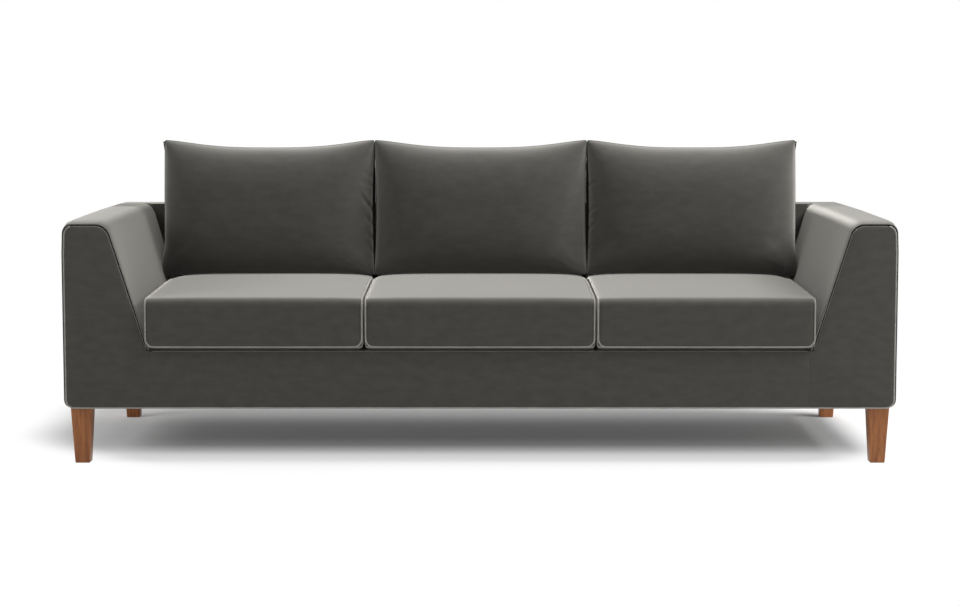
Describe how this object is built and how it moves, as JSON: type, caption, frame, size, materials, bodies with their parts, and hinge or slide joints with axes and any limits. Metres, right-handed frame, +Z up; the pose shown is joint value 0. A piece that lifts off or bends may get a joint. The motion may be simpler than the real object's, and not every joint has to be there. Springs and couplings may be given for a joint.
{
  "type": "three-seat tuxedo sofa",
  "caption": "Upholstered sofa with wedge arms level with its back, loose seat and back cushions that lift off, and tapered wood legs.",
  "frame": {"origin": "on the floor, under the middle of the sofa's bounding box", "axes": "+X to the right of someone facing the sofa's front, +Y to the rear, +Z up"},
  "size_m": [2.235, 0.9259, 0.8642],
  "materials": {
    "velvet": "dark warm charcoal velvet, soft sheen",
    "leg_wood": "stained brown wood, satin",
    "frame_wood": "bare sawn wood",
    "steel": "plain drawn wire and threaded rod",
    "webbing": "woven strap",
    "dust_cloth": "thin black non-woven cloth",
    "foam": "cream foam and fibre"
  },
  "bodies": {
    "frame": {"front_rail_cover": "velvet", "left_arm_front_cover": "velvet", "right_arm_front_cover": "velvet", "left_arm_wrap": "velvet", "right_arm_wrap": "velvet", "inside_back": "velvet", "outside_back": "velvet", "seat_deck": "velvet", "front_rail": "frame_wood", "rear_rail": "frame_wood", "back_top_rail": "frame_wood", "back_lower_rail": "frame_wood", "left_side_rail": "frame_wood", "left_seat_stretcher": "frame_wood", "left_back_post": "frame_wood", "left_arm_front_board": "frame_wood", "left_arm_rear_board": "frame_wood", "left_arm_top_rail": "frame_wood", "left_arm_slope_rail": "frame_wood", "corner_block_front_left": "frame_wood", "corner_block_rear_left": "frame_wood", "right_side_rail": "frame_wood", "right_seat_stretcher": "frame_wood", "right_back_post": "frame_wood", "right_arm_front_board": "frame_wood", "right_arm_rear_board": "frame_wood", "right_arm_top_rail": "frame_wood", "right_arm_slope_rail": "frame_wood", "corner_block_front_right": "frame_wood", "corner_block_rear_right": "frame_wood", "front_leg_left": "leg_wood", "front_leg_right": "leg_wood", "rear_leg_left": "leg_wood", "rear_leg_right": "leg_wood", "leg_bolt_front_left": "steel", "leg_bolt_front_right": "steel", "leg_bolt_rear_left": "steel", "leg_bolt_rear_right": "steel", "left_seat_springs": "steel", "center_seat_springs": "steel", "right_seat_springs": "steel", "back_strap_1": "webbing", "back_strap_2": "webbing", "back_strap_3": "webbing", "back_strap_4": "webbing", "back_strap_5": "webbing", "back_strap_6": "webbing", "dust_cover": "dust_cloth"},
    "left_seat_cushion": {"left_seat_cover": "velvet", "left_seat_foam": "foam"},
    "left_back_cushion": {"left_back_cover": "velvet", "left_back_filling": "foam"},
    "center_seat_cushion": {"center_seat_cover": "velvet", "center_seat_foam": "foam"},
    "center_back_cushion": {"center_back_cover": "velvet", "center_back_filling": "foam"},
    "right_seat_cushion": {"right_seat_cover": "velvet", "right_seat_foam": "foam"},
    "right_back_cushion": {"right_back_cover": "velvet", "right_back_filling": "foam"}
  },
  "joints": [
    {"name": "left_seat_lift", "type": "slide", "parent": "frame", "child": "left_seat_cushion", "axis": [0, 0, 1], "range_m": [0, 0.36]},
    {"name": "center_seat_lift", "type": "slide", "parent": "frame", "child": "center_seat_cushion", "axis": [0, 0, 1], "range_m": [0, 0.36]},
    {"name": "right_seat_lift", "type": "slide", "parent": "frame", "child": "right_seat_cushion", "axis": [0, 0, 1], "range_m": [0, 0.36]},
    {"name": "left_back_lift", "type": "slide", "parent": "left_seat_cushion", "child": "left_back_cushion", "axis": [0, 0, 1], "range_m": [0, 0.22]},
    {"name": "center_back_lift", "type": "slide", "parent": "center_seat_cushion", "child": "center_back_cushion", "axis": [0, 0, 1], "range_m": [0, 0.22]},
    {"name": "right_back_lift", "type": "slide", "parent": "right_seat_cushion", "child": "right_back_cushion", "axis": [0, 0, 1], "range_m": [0, 0.22]}
  ]
}
